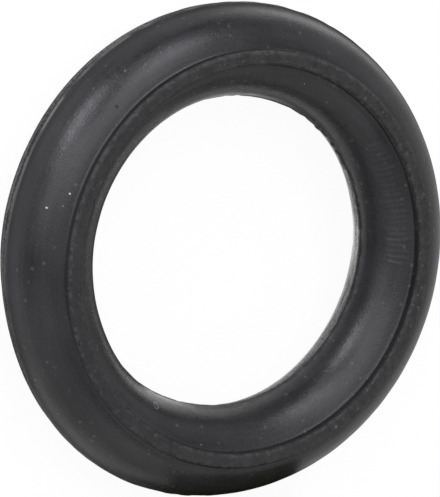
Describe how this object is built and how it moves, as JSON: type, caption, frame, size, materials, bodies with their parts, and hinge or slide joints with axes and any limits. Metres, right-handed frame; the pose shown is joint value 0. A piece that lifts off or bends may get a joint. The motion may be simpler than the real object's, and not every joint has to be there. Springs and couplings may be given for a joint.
{
  "type": "exhaust hanger ring",
  "caption": "Moulded rubber ring of nearly round section that hangs an exhaust pipe between hooks, with a narrow raised rib on each face.",
  "frame": {"origin": "middle of the hole, halfway between the two faces", "axes": "+Z along the ring's axis, out of the front face; the ring lies flat on its back rib"},
  "size_m": [0.0684, 0.0684, 0.015],
  "materials": {
    "rubber": "moulded, satin, with a fine grain"
  },
  "bodies": {
    "root": {"hanger_ring": "rubber"}
  },
  "joints": []
}
